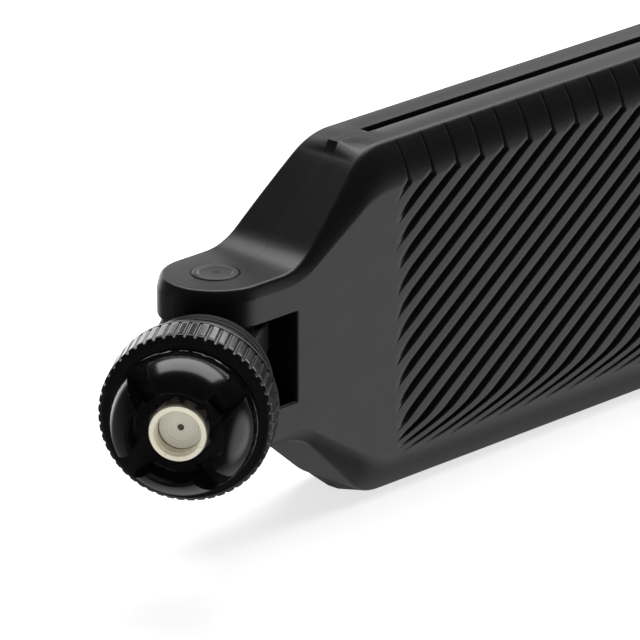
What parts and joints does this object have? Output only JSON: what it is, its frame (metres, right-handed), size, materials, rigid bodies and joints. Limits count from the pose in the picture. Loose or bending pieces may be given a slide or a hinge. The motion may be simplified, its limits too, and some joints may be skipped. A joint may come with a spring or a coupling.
{
  "type": "omnidirectional paddle antenna",
  "caption": "Flat ribbed paddle antenna on a tilting, swivelling base with a knurled coupling head and a threaded coaxial plug.",
  "frame": {"origin": "centre of the coupling nut's front face, on the plug's axis", "axes": "-Y is the way the mating jack leaves the plug, +Z runs across the blade along the tilt hinge, and the blade is folded from +Y towards +X at rest"},
  "size_m": [0.1476, 0.2232, 0.052],
  "materials": {
    "nickel": "satin champagne nickel plate on brass",
    "gold": "polished gold plate",
    "ptfe": "satin, slightly waxy",
    "silicone": "matte",
    "head_black": "polished, high gloss",
    "collar_black": "gloss with bright tooth edges",
    "base_black": "satin moulded",
    "shell_black": "satin moulded, fine texture",
    "steel": "plain bright",
    "nylon": "natural nylon",
    "nitrile": "matte",
    "board": "glass-epoxy board",
    "copper": "tinned copper foil",
    "solder": "bright solder",
    "cable": "smooth extruded jacket",
    "shrink": "heat-shrunk sleeve",
    "foam": "open-cell foam"
  },
  "bodies": {
    "plug": {"outer_contact_sleeve": "nickel", "dielectric": "ptfe", "centre_contact": "gold", "face_gasket": "silicone", "nut_snap_ring": "steel", "swivel_spindle": "nickel", "crimp_ferrule": "steel", "spindle_clip": "steel", "coax_lower": "cable"},
    "coupling": {"coupling_nut": "nickel", "grip_crown": "head_black", "knurled_collar": "collar_black"},
    "base": {"swivel_washer": "nylon", "friction_ring": "nitrile", "swivel_barrel": "base_black", "hinge_tongue": "base_black", "coax_hinge": "cable"},
    "blade": {"hinge_pins": "steel", "hinge_caps": "base_black", "friction_washers": "nylon", "front_shell": "shell_black", "rear_shell": "shell_black", "antenna_board": "board", "front_traces": "copper", "rear_traces": "copper", "feed_solder": "solder", "coax_upper": "cable", "heat_shrink": "shrink", "foam_pads": "foam"}
  },
  "joints": [
    {"name": "coupling_spin", "type": "hinge", "parent": "plug", "child": "coupling", "pos_m": [0, 0, 0], "axis": [0, -1, 0], "continuous": true},
    {"name": "base_swivel", "type": "hinge", "parent": "plug", "child": "base", "pos_m": [0, 0.0115, 0], "axis": [0, -1, 0], "range_deg": [-160, 160]},
    {"name": "blade_tilt", "type": "hinge", "parent": "base", "child": "blade", "pos_m": [0, 0.0305, 0], "axis": [0, 0, -1], "range_deg": [-35, 55], "deforming": ["coax_hinge"]}
  ]
}
